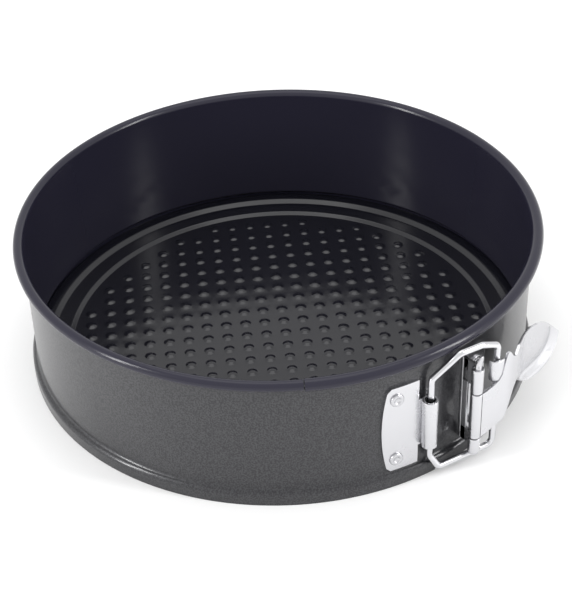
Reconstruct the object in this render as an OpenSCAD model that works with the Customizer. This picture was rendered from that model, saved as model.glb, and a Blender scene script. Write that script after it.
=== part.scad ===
// Springform pan: a flat base plate inside an open band, drawn tight by a lever and wire latch.
// Millimetres. Z is the axis of the pan, z = 0 is the table, and the latch faces -Y.
// Angles along the band are counted from -Y, positive towards +X.

/* [Band] */
// Inside diameter of the closed band
inner_d = 237; // [230:1:245]
// Height of the pan, table to top of the rim
pan_h = 69; // [68:1:76]
// Thickness of the band's sheet
sheet_t = 0.6; // [0.5:0.05:0.7]
// Free gap between the two overlapping layers
layer_gap = 0.1; // [0.1:0.05:0.2]
// Height of the rolled rim on the left end of the band
bead_left_d = 4.8; // [4.2:0.1:5]
// Height of the rolled rim on the right end, which rolls over the other end
bead_right_d = 5.6; // [5.2:0.1:6]
// How far the skirt stands out from the wall
skirt_out = 2.4; // [2:0.1:3.8]
// Radius of the two bends between wall and skirt
skirt_bend_r = 2; // [1.9:0.1:2.2]
// Height at which the wall starts to turn out to the skirt
skirt_top = 8.4; // [8:0.1:9]
// Angle of the seam in the rim, where the layers start to overlap
seam_a = -35.5; // [-45:0.5:-25]
// Angle at which the outer layer ends
outer_end_a = -7; // [-8:0.5:-6]

/* [Base plate] */
// Thickness of the base plate's sheet
base_t = 0.8; // [0.6:0.1:1]
// Radius of the low floor in the middle
floor_r = 103; // [95:1:105]
// Radius at which the outer flange starts
flange_r = 112.5; // [110:0.5:113.5]
// Height of the flat ring over the floor
ring_rise = 1.4; // [1:0.1:1.8]
// Height of the outer flange over the flat ring
flange_rise = 1.7; // [1:0.1:1.8]
// Free gap between the flange's edge and the skirt
base_gap = 0.4; // [0.3:0.1:0.8]

/* [Latch] */
// Height of the latch's middle over the table
latch_z = 31.5; // [30:0.5:32]
// Height of the plates that hold the latch
plate_h = 46; // [44:1:48]
// Thickness of the latch's sheet
latch_t = 1.2; // [1:0.1:1.3]
// Diameter of the bail's wire
wire_d = 3; // [2.8:0.1:3.1]
// Diameter of the hinge pin
pin_d = 3; // [2.8:0.1:3]
// Radial running gap round the pin
pin_gap = 0.05; // [0.02:0.01:0.1]
// Distance from the pan's axis to the hinge pin
hinge_r = 130; // [129.5:0.1:130.5]
// Distance from the hinge pin to the bail's leg in the lever's hooks
throw = 12.4; // [12:0.1:14]
// Length of the lever's barrel
barrel_h = 24.5; // [23:0.5:26]
// Length of the thumb pad
pad_len = 31; // [28:1:34]
// Height of the thumb pad
pad_h = 30; // [26:1:31]

/* [Rivets] */
// Diameter of the rivets' shanks
rivet_d = 3.1; // [2.8:0.1:3.4]
// Diameter of the rivets' heads
rivet_head_d = 6.4; // [5.6:0.1:6.6]
// Height of the rivets' heads
rivet_head_h = 1.1; // [0.8:0.1:1.3]

/* [Hidden] */
$fn = 96;

// Radii of the sheet layers. The right end of the band is the inner layer.
right_r = inner_d / 2;
left_r = right_r + sheet_t + layer_gap;
left_face = left_r + sheet_t;
right_face = right_r + sheet_t;
layer_pitch = sheet_t + layer_gap;
back_a = 180;
end_gap_a = 0.1;
bead_turn = -285;
trim_gap = 0.5;

// Hinge pin, and the bail's leg in the lever's hooks.
pin_at = [0, -hinge_r];
leg_at = [throw, 0.5 - hinge_r];
barrel_r = pin_d / 2 + pin_gap + latch_t;
lever_face = -hinge_r - barrel_r + latch_t / 2;
lever_flat = throw + 3.1;
barrel_z = latch_z - 2.5 - barrel_h / 2;
knuckle_gap = 0.6;
plate_z = latch_z - plate_h / 2;

// Rolled tube of the catch plate, which holds the bail's other leg.
tube_r = 3.5;
tube_bore_r = 2.3;
tube_h = 25.5;
tube_z = latch_z - 0.7 - tube_h / 2;
tube_a = -9.2;
tube_at = polar(left_face + tube_r + 0.1, tube_a);
hook_at = tube_at + [0.62, 0.38];

// Catch plate, drawn flat about its own middle.
catch_a = -15.1;
catch_left = 7.2;
catch_bulge = 2.4;
catch_right = 8.2;
catch_chamfer = 2;
catch_rivet_x = -2.6;
catch_rivet_z = 16.6;

// Hinge bracket.
bracket_left_a = 0.4;
bracket_right_a = 7.6;
bracket_rivet_a = 4.4;
bracket_rivet_z = 16;

function polar(r, a) = [r * sin(a), -r * cos(a)];
function last(v) = v[len(v) - 1];

// A path is a list of [x, y, heading]. Each step adds a straight run or an arc to it.
function straight(p, length) =
    concat(p, [last(p) + [length * cos(last(p)[2]), length * sin(last(p)[2]), 0]]);
function bend(p, radius, turn, n = 6) =
    let (s = last(p), h = s[2], r = radius * sign(turn))
    concat(p, [for (i = [1:n]) let (a = h + turn * i / n)
        [s[0] + r * (sin(a) - sin(h)), s[1] - r * (cos(a) - cos(h)), a]]);
function offset_path(p, d) = [for (q = p) [q[0] - d * sin(q[2]), q[1] + d * cos(q[2])]];
function flip(v) = [for (i = [len(v) - 1:-1:0]) v[i]];
// Outline of a sheet of thickness t whose middle follows the path.
function ribbon(p, t) = concat(offset_path(p, t / 2), flip(offset_path(p, -t / 2)));
function oval(c, a, b, n = 40) = [for (i = [0:n - 1])
    c + [a * cos(360 * i / n), b * sin(360 * i / n)]];

// Section of the band: skirt, two bends, wall, and a rolled rim unless bead is 0.
function band_section(inner_r, drop, top, bead) =
    let (turn = acos(1 - skirt_out / (2 * skirt_bend_r)),
         wall_r = inner_r + sheet_t / 2,
         step_h = 2 * skirt_bend_r * sin(turn),
         foot = [[wall_r + skirt_out, 0, 90]],
         skirt = straight(foot, skirt_top - drop - step_h),
         step = bend(bend(skirt, skirt_bend_r, turn), skirt_bend_r, -turn),
         wall = straight(step, top - bead / 2 - skirt_top + drop))
    bead == 0 ? ribbon(wall, sheet_t)
              : ribbon(bend(wall, (bead - sheet_t) / 2, bead_turn, 14), sheet_t);

// Each rod of the wire runs a little way into the elbows, which are a hair thicker.
rod_overlap = 0.2;
elbow_skin = 0.04;

// Turns a section about Z between two band angles.
module sweep(a0, a1) {
    rotate([0, 0, a0 - 90]) rotate_extrude(angle = a1 - a0) children();
}

// Puts a flat child, drawn in X and Z, on the band at an angle, facing outward.
module on_band(a) {
    rotate([0, 0, a]) translate([0, -inner_d / 2 - 20, 0]) rotate([90, 0, 0])
        mirror([0, 0, 1]) linear_extrude(30) children();
}

// A round bar along the outward direction at an angle and height.
module radial_bar(a, z, r0, r1, d) {
    rotate([0, 0, a]) translate([0, -r0, z]) rotate([90, 0, 0]) cylinder(d = d, h = r1 - r0);
}

module rivet(a, z, tail_r, face_r) {
    shank = face_r - tail_r;
    rotate([0, 0, a]) translate([0, -tail_r, z]) rotate([90, 0, 0]) rotate_extrude()
        polygon(concat([[0.7, 0], [rivet_d / 2, 0], [rivet_d / 2, shank],
            [rivet_head_d / 2, shank]],
            [for (t = [0:15:75]) [rivet_head_d / 2 - 1.1 * (1 - cos(t)),
                shank + rivet_head_h * (0.35 + 0.65 * sin(t))]],
            [[1.5, shank + rivet_head_h], [0.7, shank + rivet_head_h * 0.55]]));
}

// ---- Base plate ----
module base_plate() {
    rise_turn = 35;
    bend_r = 1.2;
    rise = function (p, h) let (
        slope = (h - 2 * bend_r * (1 - cos(rise_turn))) / sin(rise_turn))
        bend(straight(bend(p, bend_r, rise_turn, 4), slope), bend_r, -rise_turn, 4);
    floor_run = straight([[0, base_t / 2, 0]], floor_r);
    ring = rise(floor_run, ring_rise);
    flat_ring = straight(ring, flange_r - last(ring)[0]);
    flange = rise(flat_ring, flange_rise);
    edge = straight(flange, right_r + skirt_out - base_gap - last(flange)[0]);
    color([0.24, 0.24, 0.26]) rotate_extrude() polygon(ribbon(edge, base_t));
}

// ---- Band, cut in two at the back ----
module band_left() {
    color([0.33, 0.33, 0.35]) difference() {
        sweep(back_a + end_gap_a, 360 + outer_end_a)
            polygon(band_section(left_r, 0, pan_h, bead_left_d));
        sweep(seam_a - end_gap_a, outer_end_a + 1)
            translate([left_r - 9, pan_h - bead_right_d - trim_gap]) square([18, 9]);
        catch_rivet_holes();
    }
}

module band_right() {
    color([0.3, 0.3, 0.32]) difference() {
        sweep(seam_a + end_gap_a, back_a - end_gap_a)
            polygon(band_section(right_r, layer_pitch, pan_h, bead_right_d));
        bracket_rivet_holes();
    }
}

// ---- Catch side of the latch ----
function catch_rivet_a() = catch_a + catch_rivet_x / left_face * 180 / PI;

module catch_rivet_holes() {
    for (s = [-1, 1])
        radial_bar(catch_rivet_a(), latch_z + s * catch_rivet_z, left_r - 5,
            left_face + 5, rivet_d + 0.1);
}

module catch_outline() {
    half = plate_h / 2;
    arc_r = (pow(half - catch_chamfer, 2) + pow(catch_bulge, 2)) / (2 * catch_bulge);
    sweep_a = asin((half - catch_chamfer) / arc_r);
    translate([0, latch_z])
        polygon(concat([[catch_right, -half], [catch_right, half],
            [catch_chamfer - catch_left, half]],
            [for (i = [0:10]) let (a = 180 - sweep_a + 2 * sweep_a * i / 10)
                [arc_r - catch_left - catch_bulge + arc_r * cos(a), arc_r * sin(a)]],
            [[catch_chamfer - catch_left, -half]]));
    translate([catch_right - 2, tube_z + 0.5]) square([8, tube_h - 1]);
}

module catch_plate() {
    color([0.8, 0.8, 0.82]) difference() {
        union() {
            intersection() {
                sweep(catch_a - 8, tube_a)
                    translate([left_face, plate_z - 1]) square([latch_t, plate_h + 2]);
                on_band(catch_a) catch_outline();
            }
            translate([tube_at[0], tube_at[1], tube_z])
                cylinder(r = tube_r, h = tube_h);
        }
        translate([tube_at[0], tube_at[1], 0]) cylinder(r = tube_bore_r, h = pan_h);
        catch_rivet_holes();
    }
}

module catch_rivet(s) {
    color([0.72, 0.72, 0.74])
        rivet(catch_rivet_a(), latch_z + s * catch_rivet_z, left_r, left_face + latch_t);
}

module catch_rivet_upper() { catch_rivet(1); }

module catch_rivet_lower() { catch_rivet(-1); }

// ---- Hinge side of the latch ----
module bracket_rivet_holes() {
    for (s = [-1, 1])
        radial_bar(bracket_rivet_a, latch_z + s * bracket_rivet_z, right_r - 5,
            right_face + 5, rivet_d + 0.1);
}

module hinge_bracket() {
    top_z = barrel_z + barrel_h + knuckle_gap;
    top_h = plate_z + plate_h - top_z;
    low_h = barrel_z - knuckle_gap - plate_z;
    web_x = barrel_r - latch_t - 0.2;
    web_y = right_face + 0.5;
    web_inset = 0.3;
    lip_out = 3.5;
    color([0.8, 0.8, 0.82]) difference() {
        union() {
            sweep(bracket_left_a, bracket_right_a)
                translate([right_face, plate_z]) square([latch_t, plate_h]);
            difference() {
                translate([web_x, -hinge_r, plate_z + web_inset])
                    cube([latch_t, hinge_r - web_y, plate_h - 2 * web_inset]);
                translate([web_x - 1, -hinge_r - 1, plate_z + low_h])
                    cube([latch_t + 2, hinge_r - web_y - lip_out + 1, top_z - plate_z - low_h]);
            }
            for (k = [[top_z, top_h], [plate_z, low_h]])
                translate([pin_at[0], pin_at[1], k[0]]) cylinder(r = barrel_r, h = k[1]);
        }
        translate([pin_at[0], pin_at[1], 0]) cylinder(d = pin_d + 2 * pin_gap, h = pan_h);
        bracket_rivet_holes();
    }
}

module bracket_rivet(s) {
    color([0.72, 0.72, 0.74])
        rivet(bracket_rivet_a, latch_z + s * bracket_rivet_z, right_r, right_face + latch_t);
}

module bracket_rivet_upper() { bracket_rivet(1); }

module bracket_rivet_lower() { bracket_rivet(-1); }

// Pin with a small head at the foot and a flattened, leaning tip.
module hinge_pin() {
    foot_z = plate_z - 1.4;
    top_z = plate_z + plate_h + 0.6;
    tip_len = 5.4;
    tip_w = 3.6;
    color([0.86, 0.86, 0.88]) translate([pin_at[0], pin_at[1], 0]) {
        translate([0, 0, foot_z]) cylinder(d = pin_d, h = top_z - foot_z);
        translate([0, 0, foot_z]) cylinder(d = pin_d + 1.4, h = 1.2);
        translate([0.6, 0, top_z]) rotate([90, 25, 0])
            linear_extrude(1.4, center = true) polygon(oval([0, tip_len / 2 - 1.6],
                tip_w / 2, tip_len / 2));
    }
}

// ---- Lever ----
// Middle of the lever's sheet seen from above, from the barrel to the tip of the pad.
function lever_path() =
    let (start = straight([[0, lever_face, 0]], lever_flat),
         inward = bend(start, 22, 29, 8),
         neck = straight(inward, 7),
         outward = bend(neck, 30, -20, 8))
    straight(outward, 30);

module lever_outline() {
    pad_x = 50.3;
    neck_z = latch_z + 3.2;
    neck_h = 16.4;
    finger_x = throw + 1;
    finger_top = latch_z + 24;
    translate([-barrel_r, barrel_z]) square([17.5 + barrel_r, barrel_h]);
    polygon([[finger_x, neck_z], [finger_x + 7.6, neck_z], [finger_x + 7.6, neck_z + neck_h],
        [finger_x + 4, finger_top], [finger_x + 1.2, finger_top], [finger_x, finger_top - 9]]);
    translate([finger_x + 4, neck_z]) square([23, neck_h]);
    polygon(oval([pad_x, latch_z + 4.3], pad_len / 2, pad_h / 2));
}

// One open hook round the bail's leg, on the side away from the band.
module lever_hook(z, h) {
    hook_r = 3.2;
    hook_x = throw - 0.9;
    hook_start = throw + 2.5;
    start = straight([[hook_start, lever_face, 180]], hook_start - hook_x);
    translate([0, 0, z]) linear_extrude(h)
        polygon(ribbon(bend(start, hook_r, -90, 8), latch_t));
}

module latch_lever() {
    color([0.88, 0.88, 0.9]) difference() {
        union() {
            intersection() {
                linear_extrude(pan_h) polygon(ribbon(lever_path(), latch_t));
                translate([0, -100, 0]) rotate([90, 0, 0]) linear_extrude(60)
                    lever_outline();
            }
            translate([pin_at[0], pin_at[1], barrel_z]) cylinder(r = barrel_r, h = barrel_h);
            lever_hook(barrel_z + barrel_h + 2, 9);
            lever_hook(barrel_z + 3.5, 5.5);
        }
        translate([pin_at[0], pin_at[1], 0]) cylinder(d = pin_d + 2 * pin_gap, h = pan_h);
    }
}

// ---- Bail ----
function unit(v) = v / norm(v);

module rod(p, q, d) {
    v = q - p;
    translate(p) rotate([0, acos(v[2] / norm(v)), atan2(v[1], v[0])])
        cylinder(d = d, h = norm(v), $fn = 32);
}

// A quarter or less of a ring that joins two rods smoothly at corner c.
module elbow(a, c, b, r, d) {
    u = unit(c - a);
    w = unit(b - c);
    turn = acos(u * w);
    side = unit(w - u * (u * w));
    centre = c - u * r * tan(turn / 2) + side * r;
    axis = cross(u, side);
    multmatrix([[-side[0], u[0], axis[0], centre[0]],
                [-side[1], u[1], axis[1], centre[1]],
                [-side[2], u[2], axis[2], centre[2]],
                [0, 0, 0, 1]])
        rotate_extrude(angle = turn, $fn = 48) translate([r, 0])
            circle(d = d + 2 * elbow_skin, $fn = 32);
}

// A wire through the points, its corners rounded by radius r, closed into a loop.
module wire_loop(p, r, d) {
    n = len(p);
    back = [for (i = [0:n - 1]) let (u = unit(p[i] - p[(i + n - 1) % n]),
        w = unit(p[(i + 1) % n] - p[i])) r * tan(acos(u * w) / 2)];
    for (i = [0:n - 1]) {
        a = p[i];
        b = p[(i + 1) % n];
        u = unit(b - a);
        rod(a + u * (back[i] - rod_overlap), b - u * (back[(i + 1) % n] - rod_overlap), d);
        elbow(p[(i + n - 1) % n], a, b, r, d);
    }
}

module bail_wire() {
    top_z = pan_h - 4.5;
    knee_z = top_z - 10.5;
    foot_z = 4.8;
    over_rim = polar(126.5, -3.4);
    crest = polar(128, 1.8);
    by_skirt = polar(125.4, -7.4);
    at = function (xy, z) [xy[0], xy[1], z];
    color([0.86, 0.86, 0.88])
        wire_loop([at(hook_at, 11.5), at(hook_at, knee_z), at(over_rim, top_z),
            at(crest, top_z - 0.6), at(leg_at, top_z - 4), at(leg_at, foot_z),
            at(by_skirt, foot_z)], 3, wire_d);
}

base_plate();
band_left();
band_right();
catch_plate();
catch_rivet_upper();
catch_rivet_lower();
hinge_bracket();
bracket_rivet_upper();
bracket_rivet_lower();
hinge_pin();
latch_lever();
bail_wire();
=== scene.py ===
import math

import bpy
from mathutils import Matrix, Vector
from mathutils.geometry import delaunay_2d_cdt


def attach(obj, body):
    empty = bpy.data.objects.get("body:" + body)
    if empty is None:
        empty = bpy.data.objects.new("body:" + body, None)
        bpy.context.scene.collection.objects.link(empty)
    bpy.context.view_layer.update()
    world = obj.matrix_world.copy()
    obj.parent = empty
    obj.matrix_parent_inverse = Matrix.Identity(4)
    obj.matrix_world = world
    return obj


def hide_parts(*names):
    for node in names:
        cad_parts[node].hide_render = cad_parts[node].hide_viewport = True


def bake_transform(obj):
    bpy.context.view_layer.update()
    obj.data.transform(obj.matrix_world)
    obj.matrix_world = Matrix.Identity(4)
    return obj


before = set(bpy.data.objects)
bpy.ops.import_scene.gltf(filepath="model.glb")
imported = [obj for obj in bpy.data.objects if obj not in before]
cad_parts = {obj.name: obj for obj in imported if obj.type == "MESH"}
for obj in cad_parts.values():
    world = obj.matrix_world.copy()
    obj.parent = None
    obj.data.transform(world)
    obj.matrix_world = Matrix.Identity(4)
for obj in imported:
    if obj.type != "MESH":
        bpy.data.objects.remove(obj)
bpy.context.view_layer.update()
MM = 0.001

# ------------------------------------------------------------------ sizes, in millimetres
INNER_R = 118.5
SHEET = 0.6
LAYER_PITCH = 0.7
PAN_H = 69.0
SKIRT_OUT = 2.4
SKIRT_BEND_R = 2.0
SKIRT_TOP = 8.4
BEAD_LEFT = 4.8
BEAD_RIGHT = 5.6
SEAM = -35.5
OUTER_END = -7.0
BEAD_TURN = 285.0
LATCH_Z = 31.5
PLATE_H = 46.0
LATCH_T = 1.2
PIN = Vector((0.0, -130.0))
BARREL_MID_R = 2.15
BARREL_Z = 16.75
BARREL_H = 24.5
PLATE_LOW = LATCH_Z - PLATE_H / 2
PLATE_TOP = LATCH_Z + PLATE_H / 2
KNUCKLE_GAP = 0.6
HOOK = Vector((-19.109, -121.433))
LEG = Vector((12.4, -129.5))


def polar(r, angle):
    a = math.radians(angle)
    return Vector((r * math.sin(a), -r * math.cos(a)))


# ------------------------------------------------------------------ paths of bent sheet
def straight(path, length, n=1):
    x, y, h = path[-1]
    a = math.radians(h)
    return path + [(x + length * i / n * math.cos(a), y + length * i / n * math.sin(a), h)
                   for i in range(1, n + 1)]


def bend(path, radius, turn, n=6):
    x, y, h = path[-1]
    r = math.copysign(radius, turn)
    out = []
    for i in range(1, n + 1):
        a = h + turn * i / n
        out.append((x + r * (math.sin(math.radians(a)) - math.sin(math.radians(h))),
                    y - r * (math.cos(math.radians(a)) - math.cos(math.radians(h))), a))
    return path + out


def shifted(path, d):
    return [(x - d * math.sin(math.radians(h)), y + d * math.cos(math.radians(h)), h)
            for x, y, h in path]


def lengths(path):
    out = [0.0]
    for p, q in zip(path, path[1:]):
        out.append(out[-1] + math.hypot(q[0] - p[0], q[1] - p[1]))
    return out


def curve(points, x):
    """Value at x on the broken line through the (x, value) points."""
    if x <= points[0][0]:
        return points[0][1]
    for (x0, v0), (x1, v1) in zip(points, points[1:]):
        if x <= x1:
            t = (x - x0) / (x1 - x0)
            return v0 + (v1 - v0) * t
    return points[-1][1]


def smooth(t):
    t = max(0.0, min(1.0, t))
    return t * t * (3 - 2 * t)


# ------------------------------------------------------------------ meshes
def make(name, verts, faces, material, smooth_angle=35, normals=None, face_slots=None):
    mesh = bpy.data.meshes.new(name)
    mesh.from_pydata([(v[0] * MM, v[1] * MM, v[2] * MM) for v in verts], [], faces)
    for m in material if isinstance(material, list) else [material]:
        mesh.materials.append(m)
    if face_slots:
        mesh.polygons.foreach_set("material_index", face_slots)
    mesh.validate()
    mesh.polygons.foreach_set("use_smooth", [True] * len(mesh.polygons))
    if normals:
        mesh.normals_split_custom_set_from_vertices(normals)
    elif smooth_angle < 180:
        mesh.set_sharp_from_angle(angle=math.radians(smooth_angle))
    obj = bpy.data.objects.new(name, mesh)
    bpy.context.scene.collection.objects.link(obj)
    return obj


def bake(obj, *modifiers):
    """Adds modifiers given as (type, {setting: value}) and applies them."""
    for kind, settings in modifiers:
        m = obj.modifiers.new(kind.lower(), kind)
        for k, v in settings.items():
            setattr(m, k, v)
    bpy.context.view_layer.update()
    graph = bpy.context.evaluated_depsgraph_get()
    mesh = bpy.data.meshes.new_from_object(obj.evaluated_get(graph))
    obj.modifiers.clear()
    obj.data = mesh
    mesh.set_sharp_from_angle(angle=math.radians(40))
    return obj


def join(name, objs):
    """One object out of several, each keeping its own materials."""
    with bpy.context.temp_override(active_object=objs[0], selected_editable_objects=objs):
        bpy.ops.object.join()
    objs[0].name = name
    return objs[0]


def turned(section, angles, slots):
    """Turns strips of (r, z) about the pan's axis. section(a) gives a list of strips at angle a."""
    verts, faces, normals, face_slots = [], [], [], []
    rings = [section(a) for a in angles]
    for k in range(len(rings[0])):
        n = len(rings[0][k])
        base = len(verts)
        for a, ring in zip(angles, rings):
            s, c = math.sin(math.radians(a)), math.cos(math.radians(a))
            for r, z, nr, nz in ring[k]:
                verts.append((r * s, -r * c, z))
                normals.append((nr * s, -nr * c, nz))
        for i in range(len(angles) - 1):
            for j in range(n - 1):
                p = base + i * n + j
                faces.append((p, p + 1, p + n + 1, p + n))
                face_slots.append(slots[k])
    return verts, faces, normals, face_slots


# ------------------------------------------------------------------ materials
def shader(name, color, metallic, roughness, **more):
    m = bpy.data.materials.new(name)
    m.use_nodes = True
    tree = m.node_tree
    p = tree.nodes["Principled BSDF"]
    p.inputs["Base Color"].default_value = (*color, 1)
    p.inputs["Metallic"].default_value = metallic
    p.inputs["Roughness"].default_value = roughness
    for k, v in more.items():
        p.inputs[k.replace("_", " ")].default_value = v
    return m, tree, p


def grain(tree, p, scale, strength, distance, detail=2.0, stretch=None):
    """Fine bumps in the surface."""
    coords = tree.nodes.new("ShaderNodeTexCoord")
    noise = tree.nodes.new("ShaderNodeTexNoise")
    noise.inputs["Scale"].default_value = scale
    noise.inputs["Detail"].default_value = detail
    source = coords.outputs["Object"]
    if stretch:
        mapping = tree.nodes.new("ShaderNodeMapping")
        mapping.inputs["Scale"].default_value = stretch
        tree.links.new(source, mapping.inputs["Vector"])
        source = mapping.outputs["Vector"]
    tree.links.new(source, noise.inputs["Vector"])
    bump = tree.nodes.new("ShaderNodeBump")
    bump.inputs["Strength"].default_value = strength
    bump.inputs["Distance"].default_value = distance
    tree.links.new(noise.outputs["Fac"], bump.inputs["Height"])
    tree.links.new(bump.outputs["Normal"], p.inputs["Normal"])
    return noise


def speckle(tree, p, noise, dark, light, low=0.35, high=0.65):
    ramp = tree.nodes.new("ShaderNodeValToRGB")
    ramp.color_ramp.elements[0].position = low
    ramp.color_ramp.elements[1].position = high
    ramp.color_ramp.elements[0].color = (*dark, 1)
    ramp.color_ramp.elements[1].color = (*light, 1)
    tree.links.new(noise.outputs["Fac"], ramp.inputs["Fac"])
    tree.links.new(ramp.outputs["Color"], p.inputs["Base Color"])


def vary_roughness(tree, p, scale, low, high):
    coords = tree.nodes.new("ShaderNodeTexCoord")
    noise = tree.nodes.new("ShaderNodeTexNoise")
    noise.inputs["Scale"].default_value = scale
    noise.inputs["Detail"].default_value = 4
    tree.links.new(coords.outputs["Object"], noise.inputs["Vector"])
    spread = tree.nodes.new("ShaderNodeMapRange")
    spread.inputs["To Min"].default_value = low
    spread.inputs["To Max"].default_value = high
    tree.links.new(noise.outputs["Fac"], spread.inputs["Value"])
    tree.links.new(spread.outputs["Result"], p.inputs["Roughness"])


outside, t_, p_ = shader("coated steel, outside", (0.045, 0.045, 0.049), 0.3, 0.34,
                         Coat_Weight=0.4, Coat_Roughness=0.12)
speckle(t_, p_, grain(t_, p_, 1400, 0.16, 0.0004), (0.01, 0.01, 0.013), (0.037, 0.037, 0.041),
        0.4, 0.6)

inside, t_, p_ = shader("coated steel, inside", (0.017, 0.016, 0.028), 0.0, 0.2,
                        Specular_IOR_Level=0.32)
grain(t_, p_, 500, 0.05, 0.0003)
vary_roughness(t_, p_, 60, 0.17, 0.24)

floor_coat, t_, p_ = shader("coated steel, base", (0.008, 0.008, 0.012), 0.0, 0.18,
                            Specular_IOR_Level=0.55)
grain(t_, p_, 500, 0.06, 0.0003)
vary_roughness(t_, p_, 60, 0.15, 0.22)

cut_edge, t_, p_ = shader("sheared steel edge", (0.12, 0.12, 0.125), 0.7, 0.4)
grain(t_, p_, 1500, 0.2, 0.0003)

plated, t_, p_ = shader("plated steel", (0.62, 0.62, 0.64), 1.0, 0.24)
grain(t_, p_, 220, 0.04, 0.0006)
vary_roughness(t_, p_, 90, 0.2, 0.32)

wire_coat, t_, p_ = shader("plated wire", (0.66, 0.66, 0.68), 1.0, 0.17)
grain(t_, p_, 300, 0.03, 0.0004)

rivet_coat, t_, p_ = shader("rivet steel", (0.56, 0.56, 0.58), 1.0, 0.27)
grain(t_, p_, 500, 0.08, 0.0004)


# ------------------------------------------------------------------ band
def band_path(inner_r, drop, bead, top=PAN_H, curl=26):
    turn = math.degrees(math.acos(1 - SKIRT_OUT / (2 * SKIRT_BEND_R)))
    wall_r = inner_r + SHEET / 2
    step_h = 2 * SKIRT_BEND_R * math.sin(math.radians(turn))
    path = [(wall_r + SKIRT_OUT, 0.0, 90.0)]
    path = straight(path, SKIRT_TOP - drop - step_h, 3)
    path = bend(bend(path, SKIRT_BEND_R, turn, 9), SKIRT_BEND_R, -turn, 9)
    path = straight(path, top - bead / 2 - SKIRT_TOP + drop, 8)
    if curl:
        path = bend(path, (bead - SHEET) / 2, -BEAD_TURN, curl)
    return path


def band_strips(path):
    """Inside face, outside face, foot and top edge of the sheet, as (r, z, normal r, normal z)."""
    def face(side):
        out = []
        for r, z, h in shifted(path, side * SHEET / 2):
            a = math.radians(h)
            out.append((r, z, -side * math.sin(a), side * math.cos(a)))
        return out
    inner, outer = face(1), face(-1)
    edges = []
    for end, sign in ((0, -1), (-1, 1)):
        a = math.radians(path[end][2])
        n = (sign * math.cos(a), sign * math.sin(a))
        p, q = inner[end], outer[end]
        edges.append([(p[0], p[1], *n), (q[0], q[1], *n)])
    return [inner, outer[::-1], edges[0][::-1], edges[1]]


def band_piece(name, a0, a1, path_at, caps=(True, True)):
    n = max(2, int(abs(a1 - a0) / 0.75))
    angles = [a0 + (a1 - a0) * i / n for i in range(n + 1)]
    verts, faces, normals, slots = turned(lambda a: band_strips(path_at(a)), angles,
                                          [0, 1, 2, 2])
    for end, on in zip((a0, a1), caps):
        if not on:
            continue
        path = path_at(end)
        s, c = math.sin(math.radians(end)), math.cos(math.radians(end))
        side = -1 if end == a0 else 1
        base = len(verts)
        both = list(zip(shifted(path, SHEET / 2), shifted(path, -SHEET / 2)))
        for p, q in both:
            for r, z, _ in (p, q):
                verts.append((r * s, -r * c, z))
                normals.append((side * c, side * s, 0))
        for i in range(len(both) - 1):
            k = base + 2 * i
            faces.append((k, k + 1, k + 3, k + 2) if side < 0 else (k, k + 2, k + 3, k + 1))
            slots.append(2)
    return make(name, verts, faces, [inside, outside, cut_edge], normals=normals,
                face_slots=slots)


def rear_path(a):
    t = smooth((a - 150) / 60)
    return band_path(INNER_R + LAYER_PITCH * t, LAYER_PITCH * (1 - t),
                     BEAD_RIGHT + (BEAD_LEFT - BEAD_RIGHT) * t)


band_right = band_piece("band_fixed_side_strip", SEAM + 0.1, 150,
                        lambda a: band_path(INNER_R, LAYER_PITCH, BEAD_RIGHT),
                        (True, False))
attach(band_right, "band_fixed_side")
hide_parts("band_right")

left_main = band_piece("band_sprung_side_strip", 210, 360 + SEAM - 0.1,
                       lambda a: band_path(INNER_R + LAYER_PITCH, 0, BEAD_LEFT),
                       (False, True))
lap_top = PAN_H - BEAD_RIGHT - 0.5
left_lap = band_piece("band_outer_lap", 360 + SEAM - 0.1, 360 + OUTER_END,
                      lambda a: band_path(INNER_R + LAYER_PITCH, 0, 0, lap_top, 0),
                      (False, True))
band_left = join("band_sprung_side_strip", [left_main, left_lap])
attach(band_left, "band_sprung_side")
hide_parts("band_left")

band_rear = band_piece("band_back", 150, 210, rear_path, (False, False))
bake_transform(band_rear)


# ------------------------------------------------------------------ base plate
BASE_T = 0.8
FLOOR_R = 103.0
FLANGE_R = 112.5
EDGE_R = 120.5
PITCH = 9.6
GRID_TURN = -34.8
GRID_OFFSET = (4.4, -30.4)
GRID_OFFSET_TURN = -39.4
DIMPLE_R = 2.7
DIMPLE_H = 0.75
DIMPLED_R = 99.0


def plate_path():
    def rise(path, h):
        turn = 35
        slope = (h - 2.4 * (1 - math.cos(math.radians(turn)))) / math.sin(math.radians(turn))
        return bend(straight(bend(path, 1.2, turn, 5), slope), 1.2, -turn, 5)
    path = rise([(FLOOR_R, BASE_T / 2, 0.0)], 1.4)
    path = rise(straight(path, FLANGE_R - path[-1][0]), 1.7)
    return straight(path, EDGE_R - path[-1][0])


def plate_ring():
    path = plate_path()

    def strips(_):
        out = []
        for side in (1, -1):
            strip = []
            for r, z, h in shifted(path, side * BASE_T / 2):
                a = math.radians(h)
                strip.append((r, z, -side * math.sin(a), side * math.cos(a)))
            out.append(strip if side > 0 else strip[::-1])
        top, low = out[0][-1], out[1][0]
        out.append([(top[0], top[1], 1, 0), (low[0], low[1], 1, 0)])
        return out
    angles = [i * 360 / 288 for i in range(289)]
    return turned(strips, angles, [0, 0, 1])


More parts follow.
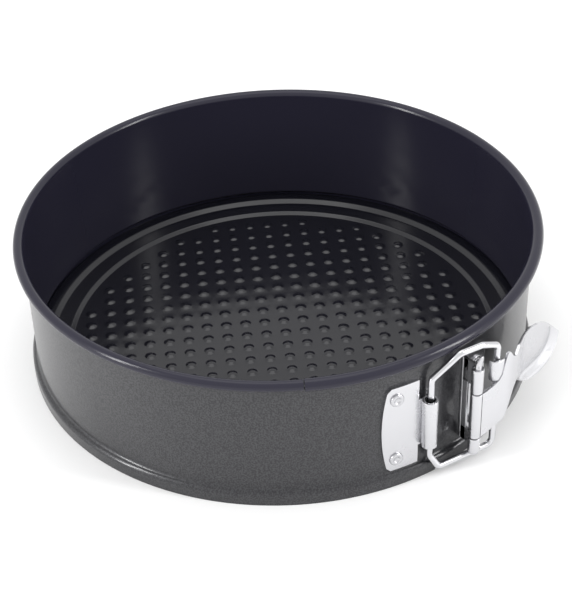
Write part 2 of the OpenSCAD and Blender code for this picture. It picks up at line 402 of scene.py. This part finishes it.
def dimple_cells(z0, rise, flip):
    """One face of the floor: square cells, each with a round bump pressed up in its middle."""
    c, s = math.cos(math.radians(GRID_TURN)), math.sin(math.radians(GRID_TURN))
    t = math.radians(GRID_OFFSET_TURN)
    gx, gy = GRID_OFFSET
    off = Vector((gx * math.cos(t) - gy * math.sin(t), gx * math.sin(t) + gy * math.cos(t)))
    u, v = Vector((c, s)) * PITCH, Vector((-s, c)) * PITCH
    cells = set()
    for i in range(-16, 17):
        for j in range(-16, 17):
            if (off + u * i + v * j).length < DIMPLED_R:
                cells.add((i, j))
    verts, faces = [], []
    corner_index = {}
    side_n = 6
    rings = (1.0, 0.86, 0.66, 0.42, 0.2)

    def point(p, z):
        verts.append((p.x, p.y, z))
        return len(verts) - 1

    def edge_point(p):
        key = (round(p.x, 3), round(p.y, 3))
        if key not in corner_index:
            corner_index[key] = point(p, z0)
        return corner_index[key]
    border = {}
    for i, j in cells:
        centre = off + u * i + v * j
        square = []
        corners = [(-.5, -.5), (.5, -.5), (.5, .5), (-.5, .5)]
        for k in range(4):
            (a0, b0), (a1, b1) = corners[k], corners[(k + 1) % 4]
            for m in range(side_n):
                f = m / side_n
                square.append((a0 + (a1 - a0) * f, b0 + (b1 - b0) * f))
        outer = [edge_point(centre + u * a + v * b) for a, b in square]
        directions = [Vector(q).normalized() for q in square]
        loops = [outer]
        shoulder = []
        for d in directions:
            w = (u.normalized() * d.x + v.normalized() * d.y) * DIMPLE_R * 1.22
            shoulder.append(point(centre + w, z0))
        loops.append(shoulder)
        for q in rings:
            h = rise * (1 - q ** 2.4) if q < 1 else rise * 0.05
            loop = []
            for d in directions:
                w = (u.normalized() * d.x + v.normalized() * d.y) * DIMPLE_R * q
                loop.append(point(centre + w, z0 + h))
            loops.append(loop)
        n = len(outer)
        for a, b in zip(loops, loops[1:]):
            for k in range(n):
                quad = (a[k], a[(k + 1) % n], b[(k + 1) % n], b[k])
                faces.append(quad[::-1] if flip else quad)
        top = point(centre, z0 + rise)
        for k in range(n):
            tri = (loops[-1][k], loops[-1][(k + 1) % n], top)
            faces.append(tri[::-1] if flip else tri)
        for k in range(n):
            edge = (outer[k], outer[(k + 1) % n])
            if (edge[1], edge[0]) in border:
                del border[(edge[1], edge[0])]
            else:
                border[edge] = True
    # flat ring between the cells and the foot of the first step
    n = 288
    circle = [point(Vector((FLOOR_R * math.cos(2 * math.pi * k / n),
                            FLOOR_R * math.sin(2 * math.pi * k / n))), z0) for k in range(n)]
    ids = circle + sorted({k for edge in border for k in edge})
    at = {k: m for m, k in enumerate(ids)}
    edges = [(m, (m + 1) % n) for m in range(n)] + [(at[a], at[b]) for a, b in border]
    filled = delaunay_2d_cdt([Vector(verts[k][:2]) for k in ids], edges, [], 1, 1e-4)
    name = [ids[old[0]] if old else point(place, z0) for place, old in zip(filled[0], filled[3])]
    for tri in filled[2]:
        t = tuple(name[k] for k in tri)
        p, q, w = (Vector(verts[k][:2]) for k in t)
        rel = (p + q + w) / 3 - off
        if (round(rel.dot(u) / PITCH ** 2), round(rel.dot(v) / PITCH ** 2)) in cells:
            continue
        up = (q - p).cross(w - p) > 0
        faces.append(t if up != flip else t[::-1])
    return verts, faces


def base_plate():
    verts, faces, normals, slots = plate_ring()
    ring = make("base_ring", verts, faces, [floor_coat, cut_edge], normals=normals,
                face_slots=slots)
    tops = []
    for z0, rise, flip in ((BASE_T, DIMPLE_H, False), (0.0, DIMPLE_H, True)):
        verts, faces = dimple_cells(z0, rise, flip)
        tops.append(make("floor", verts, faces, floor_coat, smooth_angle=60))
    return join("base_plate_embossed", [ring] + tops)


base = base_plate()
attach(base, "base")
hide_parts("base_plate")


# ------------------------------------------------------------------ pieces of bent sheet
def bent_sheet(name, path, low, high, rows, thick, material, dish=None, round_w=0.25):
    """Sheet whose plan is the path; low(s) and high(s) bound it in z, dish(s, z) presses it."""
    s = lengths(path)
    verts, faces = [], []
    for (x, y, h), t in zip(path, s):
        a = math.radians(h)
        for k in range(rows + 1):
            z = low(t) + (high(t) - low(t)) * k / rows
            d = dish(t, z) if dish else 0.0
            verts.append((x - d * math.sin(a), y + d * math.cos(a), z))
    n = rows + 1
    for i in range(len(path) - 1):
        for k in range(rows):
            p = i * n + k
            faces.append((p, p + n, p + n + 1, p + 1))
    obj = make(name, verts, faces, material, smooth_angle=180)
    return bake(obj, ("SOLIDIFY", {"thickness": thick * MM, "offset": 0.0,
                                   "use_even_offset": True}),
                ("BEVEL", {"width": round_w * MM, "segments": 3, "limit_method": "ANGLE",
                           "angle_limit": math.radians(50), "use_clamp_overlap": True}))


def lathe(name, profile, place, material, steps=40):
    """Turns (r, h) points about the local Z of the matrix place."""
    verts, faces = [], []
    n = len(profile)
    for i in range(steps):
        a = 2 * math.pi * i / steps
        for r, h in profile:
            verts.append(place @ Vector((r * math.cos(a), r * math.sin(a), h)))
    for i in range(steps):
        for k in range(n - 1):
            p, q = i * n, (i + 1) % steps * n
            faces.append((p + k, q + k, q + k + 1, p + k + 1))
    faces.append(tuple(i * n for i in range(steps))[::-1])
    faces.append(tuple(i * n + n - 1 for i in range(steps)))
    return make(name, verts, faces, material, smooth_angle=45)


def tube(name, points, radius, material, steps=20, closed=False, caps=True):
    """A wire of round section through the points."""
    pts = [Vector(p) for p in points]
    n = len(pts)
    verts, faces = [], []
    for i, p in enumerate(pts):
        a = pts[(i - 1) % n] if closed or i else p
        b = pts[(i + 1) % n] if closed or i < n - 1 else p
        t = (b - a).normalized()
        side = t.cross(Vector((0.05, 1, 0.02))).normalized()
        up = side.cross(t)
        for k in range(steps):
            w = 2 * math.pi * k / steps
            verts.append(p + (side * math.cos(w) + up * math.sin(w)) * radius)
    last = n if closed else n - 1
    for i in range(last):
        for k in range(steps):
            p, q = i * steps, (i + 1) % n * steps
            faces.append((p + k, p + (k + 1) % steps, q + (k + 1) % steps, q + k))
    if not closed and caps:
        faces.append(tuple(range(steps))[::-1])
        faces.append(tuple((n - 1) * steps + k for k in range(steps)))
    return make(name, verts, faces, material, smooth_angle=50)


def rounded(points, radius, n=8):
    """A closed run of points whose corners are turned with the radius."""
    pts = [Vector(p) for p in points]
    out = []
    for i, c in enumerate(pts):
        a, b = pts[i - 1], pts[(i + 1) % len(pts)]
        u, w = (c - a).normalized(), (b - c).normalized()
        turn = math.acos(max(-1, min(1, u.dot(w))))
        back = radius * math.tan(turn / 2)
        side = (w - u * u.dot(w)).normalized()
        centre = c - u * back + side * radius
        for k in range(n + 1):
            t = turn * k / n
            out.append(centre - side * radius * math.cos(t) + u * radius * math.sin(t))
    full = []
    for i, p in enumerate(out):
        q = out[(i + 1) % len(out)]
        full.append(p)
        for k in range(1, 4):
            if (q - p).length > 4:
                full.append(p.lerp(q, k / 4))
    return full


# catch plate, wrapped on the band, with its right end rolled into a tube
PLATE_MID_R = INNER_R + LAYER_PITCH + SHEET + LATCH_T / 2
CATCH_A = -15.1
TUBE_A = -9.2


def around(r, a0, a1, n):
    return [(r * math.sin(math.radians(a)), -r * math.cos(math.radians(a)), a)
            for a in (a0 + (a1 - a0) * i / n for i in range(n + 1))]


def catch_piece():
    half = PLATE_H / 2
    reach = math.degrees(9.6 / PLATE_MID_R)
    ends = (CATCH_A - reach, CATCH_A + math.degrees(8.2 / PLATE_MID_R))

    def half_height(s):
        bulge, body, chamfer = 2.4, half - 2, 2.0
        if s < bulge:
            r = (body ** 2 + bulge ** 2) / (2 * bulge)
            return max(1.0, math.sqrt(max(0.0, r * r - (r - s) ** 2)))
        if s < bulge + chamfer:
            return body + (s - bulge)
        return half
    dense = around(PLATE_MID_R, ends[0], ends[1], 90)
    plate = bent_sheet("catch_sheet", dense,
                       lambda s: LATCH_Z - half_height(s), lambda s: LATCH_Z + half_height(s),
                       14, LATCH_T, plated)
    # the tongue leaves the plate and rolls round the wire
    tongue = around(PLATE_MID_R, ends[1] - 0.4, TUBE_A, 4)
    tongue = bend(tongue, 2.95, -322, 44)
    roll = bent_sheet("catch_roll", tongue, lambda s: 18.05, lambda s: 43.55, 2, LATCH_T, plated)
    return join("catch_plate_rolled", [plate, roll])


catch = catch_piece()
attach(catch, "band_sprung_side")
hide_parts("catch_plate")

def rivet_at(name, node, body, angle, z, tail_r, face_r):
    out = polar(1, angle)
    o = polar(tail_r - 0.5, angle)
    x = Vector((-out.y, out.x, 0))
    place = Matrix(((x.x, 0, out.x, o.x), (x.y, 0, out.y, o.y), (0, 1, 0, z), (0, 0, 0, 1)))
    g = face_r - tail_r + 0.5
    profile = [(2.55, 0.0), (2.6, 0.25), (2.3, 0.5), (1.55, 0.52), (1.55, g), (3.1, g)]
    profile += [(3.2 - 0.9 * (1 - math.cos(math.radians(t))),
                 g + 0.3 + 0.8 * math.sin(math.radians(t))) for t in range(0, 91, 15)]
    profile += [(1.9, g + 1.08), (1.6, g + 0.95), (1.35, g + 0.55), (0.9, g + 0.38),
                (0.05, g + 0.34)]
    r = lathe(name, profile, place, rivet_coat)
    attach(r, body)
    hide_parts(node)
    return r


catch_rivet_a = CATCH_A - math.degrees(2.6 / 119.8)
for which, z in (("upper", LATCH_Z + 16.6), ("lower", LATCH_Z - 16.6)):
    rivet_at("catch_rivet_turned_" + which, "catch_rivet_" + which, "band_sprung_side",
             catch_rivet_a, z, INNER_R + LAYER_PITCH, PLATE_MID_R + LATCH_T / 2)
for which, z in (("upper", LATCH_Z + 16), ("lower", LATCH_Z - 16)):
    rivet_at("bracket_rivet_turned_" + which, "bracket_rivet_" + which, "band_fixed_side",
             4.4, z, INNER_R, INNER_R + SHEET + LATCH_T)


# hinge bracket: a plate on the band whose left edge turns out and rolls into two knuckles
def bracket_piece():
    mid_r = INNER_R + SHEET + LATCH_T / 2
    pieces = [bent_sheet("bracket_sheet", around(mid_r, 0.65, 7.6, 24), lambda s: PLATE_LOW,
                         lambda s: PLATE_TOP, 12, LATCH_T, plated)]
    web = [(BARREL_MID_R, -mid_r, -90.0)]
    lip = straight(web, 3.4, 3)
    pieces.append(bent_sheet("bracket_lip", lip, lambda s: PLATE_LOW,
                             lambda s: PLATE_TOP, 4, LATCH_T, plated))
    reach = straight(web, -PIN.y - mid_r, 6)
    roll = bend(reach, BARREL_MID_R, -300, 40)
    for low, high in ((BARREL_Z + BARREL_H + KNUCKLE_GAP, PLATE_TOP),
                      (PLATE_LOW, BARREL_Z - KNUCKLE_GAP)):
        pieces.append(bent_sheet("knuckle", roll, lambda s, v=low: v, lambda s, v=high: v, 3,
                                 LATCH_T, plated))
    return join("hinge_bracket_rolled", pieces)


bracket = bracket_piece()
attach(bracket, "band_fixed_side")
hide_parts("hinge_bracket")


# hinge pin with a small head below and a flattened leaf for a tip
def pin_piece():
    n = 24
    verts, faces = [], []
    levels = [(7.1, 1.7, 1.7, 0), (7.3, 2.2, 2.2, 0), (8.1, 2.2, 2.2, 0), (8.3, 1.5, 1.5, 0),
              (54.1, 1.5, 1.5, 0), (55.1, 1.45, 1.5, 0.1), (55.9, 0.95, 1.75, 0.45),
              (56.9, 0.72, 2.0, 0.9), (57.9, 0.68, 2.0, 1.35), (58.8, 0.62, 1.6, 1.75),
              (59.5, 0.5, 0.95, 2.05), (59.8, 0.3, 0.35, 2.2)]
    for z, thin, wide, lean in levels:
        for k in range(n):
            a = 2 * math.pi * k / n
            verts.append((PIN.x + lean + wide * math.cos(a), PIN.y + thin * math.sin(a), z))
    for i in range(len(levels) - 1):
        for k in range(n):
            p = i * n
            faces.append((p + k, p + (k + 1) % n, p + n + (k + 1) % n, p + n + k))
    faces.append(tuple(range(n))[::-1])
    faces.append(tuple((len(levels) - 1) * n + k for k in range(n)))
    return make("hinge_pin_formed", verts, faces, rivet_coat, smooth_angle=50)


pin = pin_piece()
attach(pin, "band_fixed_side")
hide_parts("hinge_pin")


# ------------------------------------------------------------------ lever
LOWER = [(0, 16.9), (6, 17.6), (9, 18.6), (14.6, 19), (16.4, 21), (18.2, 25), (20, 29.6),
         (22, 33.2), (24.5, 34.9), (28, 34), (32.5, 30), (37, 24.6), (40, 22.3), (46.3, 20.9),
         (53.1, 20.5), (58.9, 21.9), (63.7, 25.2), (66.6, 29), (67.7, 33.4)]
UPPER = [(0, 41.3), (6.8, 41.8), (11, 43), (13.3, 45.8), (14.2, 50), (15.2, 54), (16.3, 55.9),
         (17.6, 55.5), (19.8, 52), (22.3, 50.1), (25, 51.5), (28, 52.3), (33, 51.5), (37.4, 50.9),
         (43.5, 50.8), (48.5, 49.6), (53.9, 47), (58, 44.2), (61.5, 41), (65, 37.4), (67.7, 34.4)]


def lever_dish(s, z):
    """Pressed hollow of the thumb pad: deepest along a crease, with the lower edge folded out."""
    across, down = max(0.0, s - 46) / 16.3, max(0.0, 38 - z) / 12
    q = (across ** 2.6 + down ** 2.6) ** (1 / 2.6)
    along = smooth((s - 25) / 13)
    if q < 1:
        return along * 1.7 * q ** 1.6
    return along * (1.7 - 2.6 * smooth((q - 1) / 0.45))


def lever_piece():
    start = (PIN.x + BARREL_MID_R * math.sin(math.radians(-300)),
             PIN.y - BARREL_MID_R * math.cos(math.radians(-300)), -300.0)
    roll = bend([start], BARREL_MID_R, 300, 40)
    barrel = bent_sheet("lever_barrel", straight(roll, 1.2, 1), lambda s: BARREL_Z,
                        lambda s: BARREL_Z + BARREL_H, 3, LATCH_T, plated)
    path = straight([(0.6, PIN.y - BARREL_MID_R, 0.0)], 14.9, 18)
    path = bend(path, 22, 29, 14)
    path = straight(path, 7, 9)
    path = bend(path, 30, -20, 14)
    path = straight(path, 20.4, 34)
    path = straight(path, 3.2, 12)
    body = bent_sheet("lever_body", path, lambda s: curve(LOWER, s + 0.6),
                      lambda s: curve(UPPER, s + 0.6), 34, LATCH_T, plated, lever_dish)
    # hooks that hold the wire's leg, curled towards the band
    pieces = [barrel, body]
    for low, high in ((43.25, 53.5), (20.25, 25.75)):
        y = PIN.y - BARREL_MID_R + 0.3
        hook = bend([(14.2, y, 180.0), (11.5, y, 180.0)], 3.0, -90, 12)
        pieces.append(bent_sheet("lever_hook", hook, lambda s, v=low: v,
                                 lambda s, v=high: v, 4, LATCH_T, plated))
    return join("latch_lever_pressed", pieces)


lever = lever_piece()
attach(lever, "lever")
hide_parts("latch_lever")


# ------------------------------------------------------------------ bail
over_rim, crest, by_skirt = polar(126.5, -3.4), polar(128, 1.8), polar(125.4, -7.4)
bail = tube("bail_wire_bent", rounded([
    (HOOK.x, HOOK.y, 11.5), (HOOK.x, HOOK.y, 54), (over_rim.x, over_rim.y, 64.5),
    (crest.x, crest.y, 63.9), (LEG.x, LEG.y, 60.5), (LEG.x, LEG.y, 4.8),
    (by_skirt.x, by_skirt.y, 4.8)], 3.2),
    1.5, wire_coat, steps=24, closed=True)
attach(bail, "bail")
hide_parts("bail_wire")


# ------------------------------------------------------------------ stage, light and camera
def stage_floor():
    mesh = bpy.data.meshes.new("studio_floor")
    s = 3.0
    mesh.from_pydata([(-s, -s, -0.0002), (s, -s, -0.0002), (s, s, -0.0002), (-s, s, -0.0002)],
                     [], [(0, 1, 2, 3)])
    m, tree, p = shader("studio_floor", (0.93, 0.93, 0.93), 0.0, 0.7)
    mesh.materials.append(m)
    obj = bpy.data.objects.new("studio_floor", mesh)
    bpy.context.scene.collection.objects.link(obj)
    return obj


stage_floor()

TARGET = Vector((0, 0, 0.0345))
VIEW_TURN = math.radians(-39.4)
RIGHT = Vector((math.cos(VIEW_TURN), math.sin(VIEW_TURN), 0))
TOWARDS = Vector((math.sin(VIEW_TURN), -math.cos(VIEW_TURN), 0))


def soft_light(name, right, towards, up, width, height, power, aim=TARGET):
    data = bpy.data.lights.new(name, "AREA")
    data.shape = "RECTANGLE"
    data.size = width
    data.size_y = height
    data.energy = power
    obj = bpy.data.objects.new(name, data)
    obj.location = RIGHT * right + TOWARDS * towards + Vector((0, 0, up))
    obj.rotation_euler = (aim - obj.location).to_track_quat("-Z", "Y").to_euler()
    bpy.context.scene.collection.objects.link(obj)
    return obj


soft_light("left_box", -1.1, 0.5, 0.6, 0.16, 0.8, 9)
soft_light("right_box", 1.1, 0.4, 0.6, 0.16, 0.8, 7)
soft_light("top_box", 0.0, -0.2, 1.3, 0.9, 0.9, 3)

world = bpy.data.worlds.new("studio")
bpy.context.scene.world = world
world.use_nodes = True
world.node_tree.nodes["Background"].inputs["Color"].default_value = (1, 1, 1, 1)
world.node_tree.nodes["Background"].inputs["Strength"].default_value = 1.0

camera_data = bpy.data.cameras.new("camera")
camera = bpy.data.objects.new("camera", camera_data)
bpy.context.scene.collection.objects.link(camera)
elevation = math.radians(35.814)
camera.location = TARGET + (TOWARDS * math.cos(elevation)
                            + Vector((0, 0, math.sin(elevation)))) * 0.7467
look_down = Matrix.Rotation(math.radians(90 - 36), 4, "X")
roll = Matrix.Rotation(math.radians(-2.179), 4, "Z")
camera.rotation_euler = (Matrix.Rotation(VIEW_TURN, 4, "Z") @ look_down @ roll).to_euler()
camera_data.lens = 92.66
camera_data.sensor_width = 36
camera_data.shift_x = 0.0106
camera_data.shift_y = -0.0325
bpy.context.scene.camera = camera
bpy.context.scene.view_settings.view_transform = "Standard"
